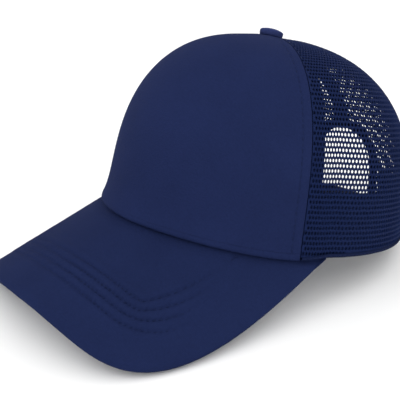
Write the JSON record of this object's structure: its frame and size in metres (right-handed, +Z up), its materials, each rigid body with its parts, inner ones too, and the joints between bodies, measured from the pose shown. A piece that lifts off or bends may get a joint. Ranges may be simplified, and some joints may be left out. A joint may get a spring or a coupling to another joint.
{
  "type": "trucker mesh cap",
  "caption": "Trucker cap with a smooth foam-backed front, open mesh sides and back, a curved stitched visor, a covered top button and a plastic snap closure.",
  "frame": {"origin": "middle of the footprint of the cap standing on a table, at table level", "axes": "+Z up, -Y to the front of the visor, +X to the wearer's left"},
  "size_m": [0.1864, 0.2638, 0.1331],
  "materials": {
    "front_cloth": "smooth matt polyester knit, navy",
    "foam": "open-cell polyurethane foam, dyed navy",
    "mesh": "stiff hexagonal polyester mesh, navy, slight sheen",
    "tape": "woven navy tape with stitching",
    "sweatband_cloth": "brushed cotton twill, navy",
    "visor_cloth": "smooth matt polyester knit with embossed stitch rows",
    "board": "moulded polyethylene sheet",
    "strap": "moulded flexible polyethylene, satin",
    "button_cloth": "smooth polyester knit stretched over the button",
    "steel": "zinc-plated pressed steel",
    "label": "blank woven satin label"
  },
  "bodies": {
    "crown": {"front_panel_fabric": "front_cloth", "front_panel_foam": "foam", "side_mesh_panel_left": "mesh", "side_mesh_panel_right": "mesh", "back_mesh_panel_left": "mesh", "back_mesh_panel_right": "mesh", "seam_tape_front_left": "tape", "seam_tape_front_right": "tape", "seam_tape_side_left": "tape", "seam_tape_side_right": "tape", "seam_tape_back": "tape", "rim_hem_left": "tape", "rim_hem_right": "tape", "sweatband": "sweatband_cloth", "sweatband_pad": "foam", "care_label": "label", "arch_binding": "tape", "hole_strap_tab": "strap", "stud_strap_tab": "strap", "button_cover": "button_cloth", "button_shell": "steel", "button_rivet": "steel", "button_washer": "steel", "visor_top_cover": "visor_cloth", "visor_foam": "foam", "visor_board": "board", "visor_bottom_cover": "visor_cloth"},
    "outer_strap": {"hole_strap": "strap"},
    "inner_strap": {"stud_strap": "strap"}
  },
  "joints": [
    {"name": "hole_strap_open", "type": "hinge", "parent": "crown", "child": "outer_strap", "pos_m": [0.01946, 0.12577, 0.00501], "axis": [0, -0.2079, -0.9781], "range_deg": [0, 70], "stiffness_Nm_per_rad": 0.004},
    {"name": "stud_strap_open", "type": "hinge", "parent": "crown", "child": "inner_strap", "pos_m": [-0.01908, 0.12446, 0.00529], "axis": [0, -0.2079, -0.9781], "range_deg": [0, 45], "stiffness_Nm_per_rad": 0.004}
  ]
}
